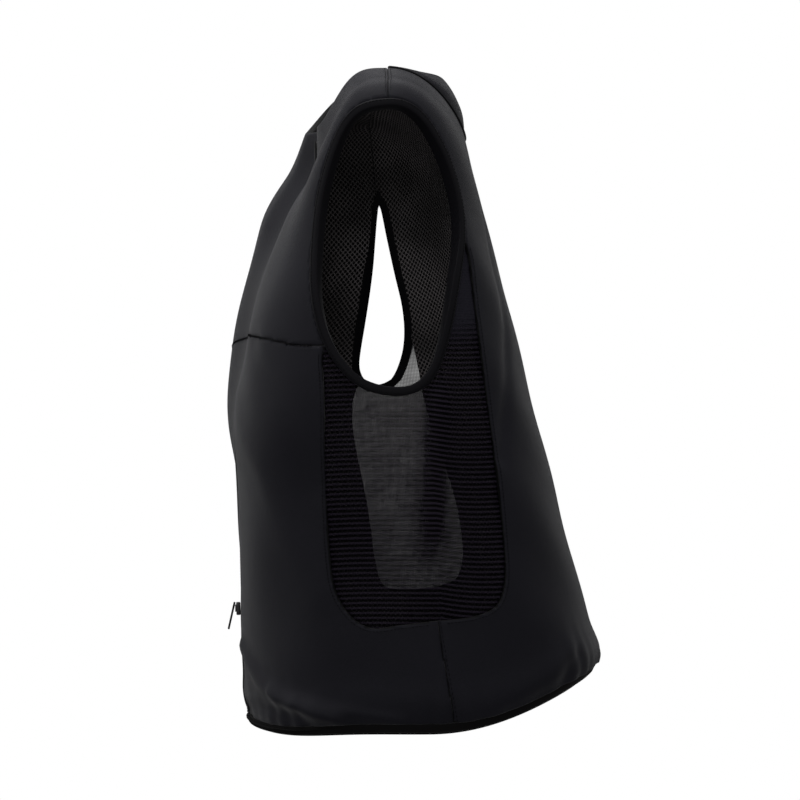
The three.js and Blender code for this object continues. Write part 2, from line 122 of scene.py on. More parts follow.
# Padded shell. Charcoal-black stretch woven over the folded air cell, cut as a back, two
# fronts and two yokes. Each piece is a flat pattern, drawn as turns round the body and rings
# up it, which is gridded, laid on the form of the worn vest and given the depth of its wall.
HALF_WIDTH, HALF_DEPTH, NECK_RISE = 0.186, 0.168, 0.601
SEAT_DROP, SEAT_SET = 0.024, 0.019
SEAT_RISE = NECK_RISE - SEAT_DROP
GAP, SHELL, LAYER_GAP, LINING = 0.0004, 0.0062, 0.0008, 0.003
WALL = SHELL + LAYER_GAP + LINING
BINDING_WIDE, TUCKED = 0.008, 0.0004
ZIP_HALF, CHAIN_HALF = 0.007, 0.0027
ZIP_DIP, ZIP_DIP_TURN = 0.009, 13
DRAPES = (
    # Where the wearer's right front hangs back or fuller than the left: depth, turn and its
    # spread, ring and its spread, and how square the fold ends up and down.
    (0.040, 293, 20, 4.4, 2.6, 4),
    (-0.017, 326, 24, 6.2, 2.9, 4),
    (-0.011, 322, 24, 7.6, 1.3, 2),
)
RINGS = np.array([
    # width middle  front   back  riseF  riseS  riseB  sqF   sqB  ease
    [0.957, 0.083, -0.839, 1.024, -0.015, 0.000, 0.057, 0.04, 0.10, 4],
    [0.989, 0.095, -0.863, 1.107, 0.000, 0.018, 0.083, 0.04, 0.10, 4],
    [1.000, 0.071, -0.893, 1.048, 0.133, 0.141, 0.163, 0.06, 0.10, 4],
    [0.989, 0.036, -0.911, 0.899, 0.308, 0.308, 0.308, 0.14, 0.10, 4],
    [0.968, -0.012, -0.935, 0.774, 0.446, 0.453, 0.449, 0.30, 0.12, 4],
    [0.946, -0.048, -0.896, 0.649, 0.574, 0.574, 0.579, 0.32, 0.12, 4],
    [0.892, -0.095, -0.818, 0.542, 0.680, 0.740, 0.699, 0.19, 0.10, 4],
    [0.806, -0.131, -0.682, 0.440, 0.770, 0.935, 0.809, 0.19, 0.08, 3],
    [0.629, -0.119, -0.515, 0.393, 0.850, 0.978, 0.859, 0.19, 0.06, 2],
    [0.430, -0.107, -0.498, 0.363, 0.918, 1.000, 0.903, 0.22, 0.06, 2],
])
NECK_RING = len(RINGS) - 1
LINES = {
    "left": {
        "armhole": [
            [90.5, 6.95], [74.5, 6.87], [65.1, 6.65], [60.4, 6.3], [61.2, 5.75], [65.4, 5.28],
            [72, 4.86], [79, 4.58], [88, 4.5], [96.5, 4.67], [104, 5.07], [113, 5.62],
            [121, 6.1], [123.4, 6.42], [118.5, 6.71], [105.5, 6.92]],
        "mesh_front": [
            [92.5, 2.19], [81.7, 2.15], [72.7, 2.12], [66.4, 2.23], [62, 2.45], [61.2, 2.75],
            [62.2, 3.2], [64.6, 3.65], [66.5, 4.1], [66.5, 4.6], [66, 4.9], [70, 5.3]],
        "mesh_back": [
            [92.5, 2.19], [103, 2.21], [110.5, 2.28], [114.2, 2.43], [116.4, 2.65], [117.8, 3],
            [118.5, 3.4], [119.8, 4], [121.8, 4.8], [124.6, 5.6], [125.7, 5.95], [122.5, 6.2]],
        "chest": [[0, 5.17], [20, 5.15], [40, 5.08], [56, 5]]},
    "right": {
        "armhole": [
            [92.5, 6.39], [85.8, 6.14], [78.5, 5.8], [74.5, 5.46], [72.4, 5.08], [72.2, 4.78],
            [76, 4.6], [84, 4.56], [92, 4.68], [98.9, 4.95], [102.6, 5.23], [103.1, 5.51],
            [100.8, 5.8], [97.2, 6.14]],
        "mesh_front": [
            [92.5, 2.19], [84, 2.2], [77, 2.28], [72.2, 2.52], [69.2, 2.9], [67.8, 3.4],
            [68, 4], [69.4, 4.4], [74, 4.75]],
        "mesh_back": [
            [92.5, 2.19], [103, 2.21], [110.5, 2.28], [114.2, 2.43], [116, 2.65], [116.3, 3],
            [114.2, 3.4], [110.8, 3.8], [108.3, 4.3], [107.6, 4.8], [106, 5.15], [101, 5.4]],
        "chest": [[0, 5.17], [20, 5.09], [40, 4.86], [56, 4.54]]},
}
HANDS = {"left": 1, "right": -1}
SIDE_SEAM_FOOT, SHOULDER_TURN, SHOULDER_RINGS = 95.6, 90, (8.5, 6.2)
STEP, FINE_STEP, LONG_STEP = 0.004, 0.003, 0.006


def eased(rows, place, cyclic=False):
    """A smooth curve through the rows of a table, read at any places between them."""
    n = len(rows)
    i = np.floor(place).astype(int)
    if cyclic:
        a, b, c, d = (rows[(i + k) % n] for k in (-1, 0, 1, 2))
    else:
        i = np.clip(i, 0, n - 2)
        ends = np.vstack([2 * rows[:1] - rows[1:2], rows, 2 * rows[-1:] - rows[-2:-1]])
        a, b, c, d = (ends[i + k] for k in (0, 1, 2, 3))
    f = (place - i)[:, None]
    return b + 0.5 * f * (c - a + f * (2 * a - 5 * b + 4 * c - d + f * (3 * b - a - 3 * c + d)))


def smooth(x, low, high):
    """Rises softly from 0 at low to 1 at high."""
    t = np.clip((x - low) / (high - low), 0, 1)
    return t * t * (3 - 2 * t)


def form(turn, ring):
    """Points on the outer face of the worn vest."""
    turn, ring = np.broadcast_arrays(np.asarray(turn, float), np.asarray(ring, float))
    width, middle, front, back, rise_f, rise_s, rise_b, sq_f, sq_b, ease = eased(RINGS, ring).T
    s, c = np.sin(np.radians(turn)), np.cos(np.radians(turn))
    fore = c > 0
    square = np.where(fore, sq_f, sq_b)
    along = c * (1 + square * s * s)
    t = np.abs(s) ** 3
    climb = np.where(fore, t * t * (3 - 2 * t), np.abs(s) ** ease)
    low = np.where(fore, rise_f, rise_b)
    y = (middle - np.where(fore, middle - front, back - middle) * along) * HALF_DEPTH
    right = turn % 360
    from_zip = np.minimum(right, 360 - right)
    y += ZIP_DIP * np.exp(-((from_zip / ZIP_DIP_TURN) ** 2)) * smooth(ring, 3.6, 6)
    y += smooth(-s, 0, 0.4) * sum(
        depth * np.exp(-(((right - at) / wide) ** 2) - ((ring - level) / tall) ** power)
        for depth, at, wide, level, tall, power in DRAPES)
    x = width * HALF_WIDTH * s * (1 + square * c * c)
    z = (low + (rise_s - low) * climb) * NECK_RISE
    return np.stack([x, y + SEAT_SET, z - SEAT_RISE], -1)


def lie(turn, ring):
    """How the form runs at each point: per degree of turn, per ring, and outwards."""
    right = form(turn + 0.5, ring) - form(turn - 0.5, ring)
    up = (form(turn, ring + 0.02) - form(turn, ring - 0.02)) * 25
    out = np.cross(right, up)
    return right, up, out / np.linalg.norm(out, axis=-1, keepdims=True)


def evenly(points, step, closed=False):
    """The same line with its points a step apart along the form."""
    points = np.asarray(points, float)
    if closed:
        points = np.vstack([points, points[:1]])
    place = form(points[:, 0], points[:, 1])
    run = np.concatenate([[0], np.cumsum(np.linalg.norm(np.diff(place, axis=0), axis=1))])
    count = max(1, round(run[-1] / step))
    want = np.linspace(0, run[-1], count + 1)
    if closed:
        want = want[:-1]
    return np.stack([np.interp(want, run, points[:, k]) for k in (0, 1)], -1)


def curve(rows, step, closed=False):
    """A smooth pattern line through the rows of a table."""
    spans = len(rows) if closed else len(rows) - 1
    cuts = 16
    place = np.arange(spans * cuts + (0 if closed else 1)) / cuts
    return evenly(eased(np.asarray(rows, float), place, closed), step, closed)


def moved(points, distance):
    """A closed pattern outline moved sideways; outwards is positive."""
    right, up, out = lie(points[:, 0], points[:, 1])
    x = right / np.linalg.norm(right, axis=1, keepdims=True)
    y = np.cross(out, x)
    m = np.stack([(right * x).sum(1), (up * x).sum(1), (right * y).sum(1), (up * y).sum(1)])

    def edge(step):
        u, v = step.T
        flat = np.stack([m[0] * u + m[1] * v, m[2] * u + m[3] * v])
        flat /= np.maximum(np.linalg.norm(flat, axis=0), 1e-12)
        return np.stack([flat[1], -flat[0]])

    one = edge(points - np.roll(points, 1, axis=0))
    two = edge(np.roll(points, -1, axis=0) - points)
    d = (one + two) * distance / np.maximum(0.5, 1 + (one * two).sum(0))
    det = m[0] * m[3] - m[1] * m[2]
    shift = np.stack([m[3] * d[0] - m[1] * d[1], m[0] * d[1] - m[2] * d[0]], -1)
    return points + shift / det[:, None]


def crossing(path, line):
    """Where a path first crosses a line of points, as places on both."""
    for i in range(len(path) - 1):
        r = path[i + 1] - path[i]
        s = line[1:] - line[:-1]
        det = r[0] * s[:, 1] - r[1] * s[:, 0]
        q = line[:-1] - path[i]
        t = (q[:, 0] * s[:, 1] - q[:, 1] * s[:, 0]) / det
        w = (q[:, 0] * r[1] - q[:, 1] * r[0]) / det
        hit = np.nonzero((t >= 0) & (t <= 1) & (w >= 0) & (w <= 1))[0]
        if len(hit):
            return i + t[hit[0]], hit[0] + w[hit[0]]
    raise ValueError("pattern lines do not meet")


def stretch(line, start, end, step):
    """The stretch of a line between two places on it, counted in points."""
    inside = np.arange(math.ceil(start + 0.02), end - 0.02).astype(int)
    count = np.arange(len(line))
    first, last = ([np.interp(p, count, line[:, k]) for k in (0, 1)] for p in (start, end))
    return evenly(np.vstack([first, line[inside], last]), step)


def joined(*parts):
    """One closed outline from lines that meet end to end."""
    return np.vstack([part[:-1] for part in parts])


def straight(start, end, step):
    return evenly(np.linspace(start, end, 40), step)


def zip_turn(distance, ring):
    """The turn that lies a distance beside the centre front at a ring."""
    ring = np.atleast_1d(np.asarray(ring, float))
    return distance / np.linalg.norm(lie(0 * ring, ring)[0], axis=1)


def zip_edge(distance, start, end, step):
    ring = np.linspace(start, end, 60)
    return evenly(np.stack([zip_turn(distance, ring), ring], -1), step)


def handed(rows, hand):
    return np.asarray(rows, float) * [hand, 1]


def cut_side(lines, hand):
    """The pattern pieces of one side, drawn from its lines, in anticlockwise order."""
    armhole = curve(handed(lines["armhole"], hand), STEP, closed=True)
    edge = moved(armhole, (BINDING_WIDE - TUCKED) * hand)
    loop = np.vstack([edge, edge[:1]])
    twice = np.vstack([loop, edge[1:]])
    front, back = (curve(handed(lines[k], hand), FINE_STEP) for k in ("mesh_front", "mesh_back"))
    top = crossing(np.array([[SHOULDER_TURN * hand, ring] for ring in SHOULDER_RINGS]), loop)[1]
    front_path, front_place = crossing(front, loop)
    back_path, back_place = crossing(back, loop)
    if top > len(edge) / 2:
        top -= len(edge)
    wrap = len(edge) if top < 0 else 0
    arm_front = stretch(twice, top + wrap, front_place + wrap, STEP / 2)
    arm_low = stretch(twice, front_place, back_place, STEP / 2)
    arm_back = stretch(twice, back_place, top + len(edge), STEP / 2)
    front, back = stretch(front, 0, front_path, STEP), stretch(back, 0, back_path, STEP)
    chest = curve(np.vstack([handed(lines["chest"], hand), arm_front[-1]]), STEP)
    chest[0, 0] = zip_turn(ZIP_HALF * hand, chest[0, 1])[0]
    foot = np.array([SIDE_SEAM_FOOT * hand, 1])
    hem = straight(np.array([zip_turn(ZIP_HALF * hand, 1)[0], 1]), foot, STEP)
    side_seam = straight(foot, front[0], STEP)
    peak = np.array([SHOULDER_TURN * hand, NECK_RING])
    shoulder = straight(peak, arm_front[0], STEP)
    neck = straight(peak, np.array([zip_turn(ZIP_HALF * hand, NECK_RING)[0], NECK_RING]), STEP)
    low_zip, high_zip, whole_zip = (
        zip_edge(ZIP_HALF * hand, start, end, STEP)
        for start, end in ((chest[0, 1], 1), (NECK_RING, chest[0, 1]), (NECK_RING, 1)))
    pieces = {
        "panel": joined(hem, side_seam, front, chest[::-1], low_zip),
        "yoke": joined(chest, arm_front[::-1], shoulder[::-1], neck, high_zip),
        "whole": joined(hem, side_seam, front, arm_front[::-1], shoulder[::-1], neck, whole_zip),
        "mesh": joined(front[::-1], back, arm_low[::-1]),
    }
    if hand < 0:
        pieces = {name: outline[::-1] for name, outline in pieces.items()}
    pieces["back_edge"] = np.vstack([shoulder, arm_back[-2::-1], back[-2::-1], side_seam[-2::-1]])
    pieces["seams"] = {
        "chest": chest, "shoulder": shoulder, "side": side_seam, "front": front, "back": back}
    return pieces


cut = {word: cut_side(LINES[word], hand) for word, hand in HANDS.items()}
left_edge = cut["left"]["back_edge"]
right_edge = cut["right"]["back_edge"][::-1] + [360, 0]
back_panel = joined(
    left_edge, straight(left_edge[-1], right_edge[0], STEP), right_edge,
    straight(right_edge[-1], left_edge[0], STEP))


FLAT_TURNS = 20
FINE_CELL, COARSE_CELL = (1.0, 0.04), (1.25, 0.05)


def cut_cloth(outline, turn_step, ring_step):
    """The pattern piece as one flat face, ruled into cells along turns and rings. On it a unit
    is FLAT_TURNS degrees wide and one ring tall, which keeps the cells near square."""
    bm = bmesh.new()
    bm.faces.new([bm.verts.new((u / FLAT_TURNS, v, 0)) for u, v in outline])
    for axis, step in ((0, turn_step / FLAT_TURNS), (1, ring_step)):
        low, high = (f(vert.co[axis] for vert in bm.verts) for f in (min, max))
        for k in range(math.floor(low / step), math.ceil(high / step)):
            at, normal = [0, 0, 0], [0, 0, 0]
            at[axis], normal[axis] = (k + 0.5) * step, 1
            bmesh.ops.bisect_plane(
                bm, geom=bm.verts[:] + bm.edges[:] + bm.faces[:], dist=1e-7,
                plane_co=at, plane_no=normal)
    return bm


def away(points, line):
    """Distance of each point from a line of points."""
    nearest = np.full(len(points), 1e9)
    for a, b in zip(line[:-1], line[1:]):
        along = b - a
        t = np.clip((points - a) @ along / max(along @ along, 1e-12), 0, 1)
        nearest = np.minimum(nearest, np.linalg.norm(points - a - t[:, None] * along, axis=1))
    return nearest


GRID_TURN, GRID_PER_RING = 2.0, 10
GRID_TURNS = np.arange(-180, 361, GRID_TURN)
GRID_RINGS = np.linspace(0, NECK_RING, NECK_RING * GRID_PER_RING + 1)
WIDE, TALL = len(GRID_TURNS), len(GRID_RINGS)
grid = form(*(g.ravel() for g in np.meshgrid(GRID_TURNS, GRID_RINGS, indexing="ij"))).reshape(WIDE, TALL, 3)
girths = np.vstack([np.zeros((1, TALL)), np.cumsum(np.linalg.norm(np.diff(grid, axis=0), axis=2), 0)])
climbs = np.hstack([np.zeros((WIDE, 1)), np.cumsum(np.linalg.norm(np.diff(grid, axis=1), axis=2), 1)])


def between(table, turn, ring):
    """Reads a table of distances along the form at any turn and ring."""
    u = np.clip((turn - GRID_TURNS[0]) / GRID_TURN, 0, WIDE - 1.001)
    v = np.clip(ring * GRID_PER_RING, 0, TALL - 1.001)
    i, j = u.astype(int), v.astype(int)
    f, g = u - i, v - j
    return ((1 - f) * (1 - g) * table[i, j] + f * (1 - g) * table[i + 1, j]
            + (1 - f) * g * table[i, j + 1] + f * g * table[i + 1, j + 1])


def spread(turn, ring, centre):
    """Cloth coordinates in metres: round the body from a centre line, and up from the hem."""
    return np.stack([between(girths, turn, ring) - between(girths, 0 * turn + centre, ring),
                     between(climbs, turn, ring)], -1)


def finished(bm, name, smooth_shaded=True):
    for face in bm.faces:
        face.smooth = smooth_shaded
    mesh = bpy.data.meshes.new(name)
    bm.to_mesh(mesh)
    bm.free()
    piece = bpy.data.objects.new(name, mesh)
    scene.collection.objects.link(piece)
    return piece


CORNER = 1.0


def laid(bm, name, outer, inner, relief=None, soften=0.0012, centre=0, through=False, sunk=0.0):
    """Lays a cut piece on the form, closes it into a wall and rounds its cut edges. The wall
    lies from outer to inner under the form; relief moves its outer face, and its inner one too
    if it goes through; sunk draws its edges in at the seams."""
    bmesh.ops.triangulate(bm, faces=[f for f in bm.faces if len(f.verts) > 4])
    top = bm.faces[:]
    turned = bm.verts.layers.float.new("turn")
    ringed = bm.verts.layers.float.new("ring")
    deep = bm.verts.layers.float.new("deep")
    seam = bm.verts.layers.float.new("seam")
    for vert in bm.verts:
        vert[seam] = float(vert.is_boundary)
        vert[turned], vert[ringed] = vert.co.x * FLAT_TURNS, vert.co.y
    for item in bmesh.ops.extrude_face_region(bm, geom=top, use_keep_orig=True)["geom"]:
        if isinstance(item, bmesh.types.BMVert):
            item[deep] = 1
    u, v, d = (np.array([vert[layer] for vert in bm.verts]) for layer in (turned, ringed, deep))
    skin = form(u, v)
    out = lie(u, v)[2]
    rise = np.zeros(len(u)) if relief is None else relief(u, v, skin)
    if sunk:
        rise = rise - sunk * np.array([vert[seam] for vert in bm.verts])
    if callable(inner):
        inner = inner(u, v)
    under = -inner + (rise if through else 0)
    skin += out * np.where(d > 0, under, rise - outer)[:, None]
    for vert, place in zip(bm.verts, skin):
        vert.co = place
    cloth = bm.loops.layers.uv.new("cloth")
    flat = spread(u, v, centre)
    for vert, (a, b) in zip(bm.verts, flat):
        for loop in vert.link_loops:
            loop[cloth].uv = (a, b)
    bm.normal_update()
    bmesh.ops.recalc_face_normals(bm, faces=bm.faces)
    sharp = [e for e in bm.edges if len(e.link_faces) == 2 and e.calc_face_angle(0) > CORNER]
    if soften:
        bmesh.ops.bevel(bm, geom=sharp, offset=soften, affect="EDGES", segments=3,
                        profile=0.5, material=-1, clamp_overlap=True)
    return finished(bm, name)


SEAM_GAP = 0.00003


def clear(outline):
    """Pieces sewn edge to edge, a hair apart, so no light comes through the seams."""
    return moved(outline, -SEAM_GAP)


class Wire:
    """A node socket that can be written into sums."""

    def __init__(self, cloth, socket):
        self.cloth, self.socket = cloth, socket

    def sum(self, kind, *others):
        return self.cloth.node("ShaderNodeMath", {"operation": kind}, self, *others)

    def __add__(self, other):
        return self.sum("ADD", other)

    def __mul__(self, other):
        return self.sum("MULTIPLY", other)

    def __sub__(self, other):
        return self.sum("SUBTRACT", other)

    def __rsub__(self, other):
        return self.cloth.node("ShaderNodeMath", {"operation": "SUBTRACT"}, other, self)

    __radd__, __rmul__ = __add__, __mul__

    def wave(self):
        return self.sum("SINE")

    def size(self):
        return self.sum("ABSOLUTE")

    def ramp(self, low, high):
        eased_in = {"interpolation_type": "SMOOTHSTEP"}
        return self.cloth.node("ShaderNodeMapRange", eased_in, self, low, high)


class Finish:
    """One material, with the nodes that give it its look."""

    def __init__(self, name, colour, roughness, sheen=0.0, coat=0.0, gloss=0.16):
        self.material = bpy.data.materials.new(name)
        self.material.use_nodes = True
        self.tree = self.material.node_tree
        self.shader = self.tree.nodes["Principled BSDF"]
        values = {"Base Color": (*colour, 1), "Roughness": roughness, "Sheen Weight": sheen,
                  "Sheen Roughness": 0.32, "Sheen Tint": (1, 1, 1, 1), "Coat Weight": coat,
                  "Specular IOR Level": gloss}
        for socket, value in values.items():
            self.shader.inputs[socket].default_value = value

    def node(self, kind, settings, *values, output=0):
        made = self.tree.nodes.new(kind)
        for key, value in settings.items():
            setattr(made, key, value)
        for place, value in enumerate(values):
            self.join(value, made.inputs[place])
        return Wire(self, made.outputs[output])

    def join(self, value, socket):
        if isinstance(value, Wire):
            self.tree.links.new(value.socket, socket)
        else:
            socket.default_value = value

    def give(self, **links):
        for socket, value in links.items():
            self.join(value, self.shader.inputs[socket.replace("_", " ")])

    def place(self):
        return self.node("ShaderNodeTexCoord", {}, output=3)

    def along(self, axis):
        """Distance along the cloth, in metres: 0 round the body, 1 up it."""
        flat = self.node("ShaderNodeUVMap", {"uv_map": "cloth"})
        return self.node("ShaderNodeSeparateXYZ", {}, flat, output=axis)

    def worked(self, name):
        """A value that the piece carries at each of its points, such as its seam edges."""
        return self.node("ShaderNodeAttribute", {"attribute_name": name}, output=2)

    def noise(self, scale, detail=2.0):
        made = self.node("ShaderNodeTexNoise", {}, self.place())
        made.socket.node.inputs["Scale"].default_value = scale
        made.socket.node.inputs["Detail"].default_value = detail
        return made

    def mixed(self, mask, one, two):
        made = self.tree.nodes.new("ShaderNodeMix")
        made.data_type = "RGBA"
        self.join(mask, made.inputs[0])
        for socket, value in ((made.inputs[6], one), (made.inputs[7], two)):
            self.join(value if isinstance(value, Wire) else (*value, 1), socket)
        return Wire(self, made.outputs[2])

    def bumped(self, height, distance):
        made = self.tree.nodes.new("ShaderNodeBump")
        made.inputs["Strength"].default_value = 1.0
        made.inputs["Distance"].default_value = distance
        self.join(height, made.inputs["Height"])
        return Wire(self, made.outputs[0])


WEAVE_PITCH = 0.0011
shell = Finish("shell_woven", (0.006, 0.006, 0.0075), 0.62, sheen=0.14)
weft = (shell.along(1) * (2 * math.pi / WEAVE_PITCH)).wave()
warp = (shell.along(0) * (2 * math.pi / WEAVE_PITCH)).wave()
weave = weft * warp * 0.5 + 0.5
fibre = shell.noise(900, 3)
cloudy = shell.noise(14, 3)
tone = (weave * 0.35 + fibre * 0.5 + cloudy * 0.35).ramp(0.25, 0.95)
cloth_tone = shell.mixed(tone, (0.0046, 0.0045, 0.0076), (0.0105, 0.0101, 0.0158))
# Painted shade: the seam edges are coloured near black, standing in for the shade in the sunk seams.
seam_shade = shell.worked("seam").ramp(0.35, 1.0)
shell.give(
    Base_Color=shell.mixed(seam_shade, cloth_tone, (0.0006, 0.0006, 0.0009)),
    Roughness=0.55 + fibre * 0.2,
    Normal=shell.bumped(weave * 0.6 + fibre * 0.6, 0.0002))


def ridge(skin, line, width, height):
    """A soft fold along a line on the form; a negative height is a crease."""
    line = np.asarray(line, float)
    return height * np.exp(-((away(skin, form(line[:, 0], line[:, 1])) / width) ** 2))


FOLDS = (
    # turns and rings along the fold, its width and its height
    ([[8, 1.85], [24, 1.58], [41, 1.35], [59, 1.11]], 0.009, 0.0042),
    ([[34, 1.49], [50, 1.27], [62, 1.09]], 0.006, 0.0028),
    ([[46, 1.39], [64, 1.22], [80, 1.07]], 0.006, 0.0026),
    ([[3, 1.14], [30, 1.27], [45, 1.21]], 0.007, -0.0030),
    ([[-14, 1.7], [-34, 1.4], [-58, 1.12]], 0.010, 0.0030),
    ([[-70, 1.5], [-88, 1.2], [-100, 1.06]], 0.008, 0.0022),
    ([[100, 1.1], [118, 1.25], [136, 1.6]], 0.014, 0.0018),
    ([[140, 1.5], [130, 1.12], [112, 1.02]], 0.008, -0.0018),
    ([[168, 1.12], [184, 1.3], [204, 1.62]], 0.012, 0.0026),
    ([[215, 1.5], [232, 1.2], [246, 1.06]], 0.010, 0.0024),
    ([[158, 6.64], [150, 5.8], [144, 5.16], [130, 4.3], [122, 3.7]], 0.009, -0.0020),
    ([[202, 6.5], [214, 5.2], [232, 4.0]], 0.010, -0.0018),
    ([[30, 5.0], [52, 4.3], [60, 3.4]], 0.016, -0.0018),
    ([[12, 4.4], [36, 3.6], [55, 2.4]], 0.020, 0.0020),
)


GATHER_DEEP, GATHER_TALL = 0.0009, 0.030
BLOUSE, BLOUSE_UP, BLOUSE_WIDE = 0.0024, 0.020, 0.016
TUCK, TUCK_WIDE = 0.0014, 0.006
DENT = 0.0013
CALM_SHOULDER, CALM_RINGS = 0.8, (7.2, 8.4)


def worn(turn, ring, skin):
    """How the worn shell departs from its pattern: soft dents, hem gathers, and the way the
    cloth blouses over the elastic and tucks in under it. The shoulders stay calmer."""
    up_run = between(climbs, turn, ring) - between(climbs, turn, 0 * turn + 1)
    round_run = between(girths, turn % 360, 0 * turn + 1)
    height = skin[:, 2]
    gathers = np.sin(round_run * 210 + 2.2 * np.sin(round_run * 37)) * np.sin(round_run * 23 + 1)
    dents = np.sin(height * 46 + 2.4 * np.sin(round_run * 13)) * np.sin(round_run * 19 + height * 11)
    rise = GATHER_DEEP * gathers * np.exp(-((up_run / GATHER_TALL) ** 2))
    rise += BLOUSE * np.exp(-(((up_run - BLOUSE_UP) / BLOUSE_WIDE) ** 2))
    rise += DENT * dents - TUCK * np.exp(-((up_run / TUCK_WIDE) ** 2))
    for line, width, lift in FOLDS:
        rise += ridge(skin, line, width, lift)
    return rise * (1 - CALM_SHOULDER * smooth(ring, *CALM_RINGS))


SEAM_SUNK = 0.0011
for word in HANDS:
    for node, kind in (("front_panel", "panel"), ("front_yoke", "yoke")):
        cloth = cut_cloth(clear(cut[word][kind]), *FINE_CELL)
        piece = laid(cloth, f"{node}_{word}_cloth", 0, SHELL, relief=worn, sunk=SEAM_SUNK)
        piece.data.materials.append(shell.material)
        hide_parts(f"{node}_{word}")
        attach(piece, "root")
cloth = cut_cloth(clear(back_panel), *FINE_CELL)
back = laid(cloth, "back_panel_cloth", 0, SHELL, relief=worn, centre=180, sunk=SEAM_SUNK)
back.data.materials.append(shell.material)
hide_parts("back_panel")
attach(back, "root")

# Lining. Black spacer mesh, two knitted faces held apart by fine pile, with small open cells.
# It is cut like the panels and sewn in just behind them, one piece for each front and the back.
CELL = 0.0054
lining = Finish("spacer_mesh", (0.02, 0.019, 0.021), 0.75, sheen=0.12)
one_way = (lining.along(0) + lining.along(1)) * (math.pi / CELL)
other_way = (lining.along(0) - lining.along(1)) * (math.pi / CELL)
strand = (one_way.wave() * other_way.wave()).size().ramp(0.6, 0.15)
pressed = lining.noise(11, 2).ramp(0.36, 0.66)
lit_strand = strand * (0.35 + 0.65 * pressed)
net_tone = lining.mixed(lit_strand, (0.004, 0.0038, 0.0042), (0.22, 0.2, 0.205))
# Painted shade: the lining's seam edges are coloured darker, like the shell's.
seam_shade = lining.worked("seam").ramp(0.35, 1.0)
lining.give(
    Base_Color=lining.mixed(seam_shade, net_tone, (0.003, 0.0028, 0.003)),
    Normal=lining.bumped(strand, 0.0014))


def stretched(piece, outline, centre):
    """Works out the box of a piece's flat cut and that cut's area; nothing keeps them."""
    wide, tall = np.ptp(spread(outline[:, 0], outline[:, 1], centre), axis=0)
    area = min(sum(face.area for face in piece.data.polygons) / 2, wide * tall)


LINING_ROUND = 0.0008
for word in HANDS:
    cloth = cut_cloth(clear(moved(cut[word]["whole"], -GAP)), *COARSE_CELL)
    piece = laid(cloth, f"front_lining_{word}_mesh", SHELL + LAYER_GAP, WALL, soften=LINING_ROUND)
    piece.data.materials.append(lining.material)
    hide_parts(f"front_lining_{word}")
    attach(piece, "root")
    stretched(piece, cut[word]["whole"], 0)
cloth = cut_cloth(clear(moved(back_panel, -GAP)), *COARSE_CELL)
inner_back = laid(
    cloth, "back_lining_mesh", SHELL + LAYER_GAP, WALL, soften=LINING_ROUND, centre=180)
inner_back.data.materials.append(lining.material)
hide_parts("back_lining")
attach(inner_back, "root")
stretched(inner_back, back_panel, 180)

# Side panels. Thin black ladder mesh under each arm, so the vest breathes and stretches. Fine
# holes lie in rows between its raised cross ribs, and one can see right through both sides. It
# is sewn in behind the edges of the panels, and backed with plain cloth beside the armhole.
MESH, MESH_SET, FOLD = 0.0012, 0.0026, 0.005
RIB, RISE_BACK = 0.0044, 0.012
HOLE_ROW, HOLE_ALONG = RIB / 3, 0.0016
ladder = Finish("ladder_mesh", (0.003, 0.0025, 0.0035), 0.6, sheen=0.0, gloss=0.04)
rearward = ladder.along(0) * ladder.worked("hand")
up_cloth = ladder.along(1) + (rearward.sum("MAXIMUM", RISE_BACK) - RISE_BACK) * 0.22
rib = (up_cloth * (math.pi / RIB)).wave().size()
across = (ladder.along(0) * (math.pi / HOLE_ALONG)).wave().size()
dense = ladder.noise(70, 4) * 0.22 + (0.2 - ladder.along(1)) * 0.45
bar = (up_cloth * (math.pi / HOLE_ROW)).wave().size()
hole = 0.37 + dense + ladder.worked("folded") * 0.42 + (bar * across).ramp(0.8, 0.3) * 0.27
# Painted highlight and shade: the ribs are real and carry the bump, but their crests are coloured lighter
# and the web between them near black, for the light the raised ribs catch.
rib_highlight_and_shade = ladder.mixed(rib.ramp(0.6, 1.0), (0.0001, 0.0001, 0.0002), (0.0220, 0.0170, 0.0280))
doubled = ladder.along(1).ramp(0.335, 0.372)
ladder.give(
    Base_Color=ladder.mixed(doubled, rib_highlight_and_shade, (0.0170, 0.0162, 0.0230)),
    Alpha=hole + doubled * 0.4,
    Normal=ladder.bumped(rib * (1 - doubled), 0.0010))


def soft_fold(turn, ring, skin=None):
    """The one slack fold of the mesh on the wearer's left, leaning back as it climbs."""
    crest = 95.2 + (ring - 3.45) * 5.2
    reach = smooth(ring, 2.5, 3.1) * smooth(-ring, -4.75, -4.3)
    return FOLD * np.exp(-(((turn - crest) / 4.2) ** 2)) * reach


for word, hand in HANDS.items():
    piece = laid(
        cut_cloth(clear(cut[word]["mesh"]), *FINE_CELL), f"side_mesh_{word}_net",
        MESH_SET, MESH_SET + MESH, relief=soft_fold, soften=0, centre=90 * hand, through=True)
    layers = piece.data.attributes
    at = [np.array([point.value for point in layers[k].data]) for k in ("turn", "ring")]
    folded = soft_fold(*at) / FOLD
    for layer, values in (("hand", np.full(len(folded), hand)), ("folded", folded)):
        layers.new(layer, "FLOAT", "POINT").data.foreach_set("value", values.astype(np.float32))
    piece.data.materials.append(ladder.material)
    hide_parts(f"side_mesh_{word}")
    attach(piece, "root")
    stretched(piece, cut[word]["mesh"], 90 * hand)

# Armhole bindings. A folded tape sewn round each armhole over the raw edges of the panels and
# the mesh. It is full where it wraps the padding and flat where it only holds the mesh.
BINDING_PROUD, BINDING_THIN, BINDING_FULL = 0.0007, 0.005, 0.0006
MESH_TOP_RING, THINNING = 5.35, 0.6
tape = Finish("woven_tape", (0.0050, 0.0047, 0.0064), 0.6, sheen=0.06, gloss=0.08)


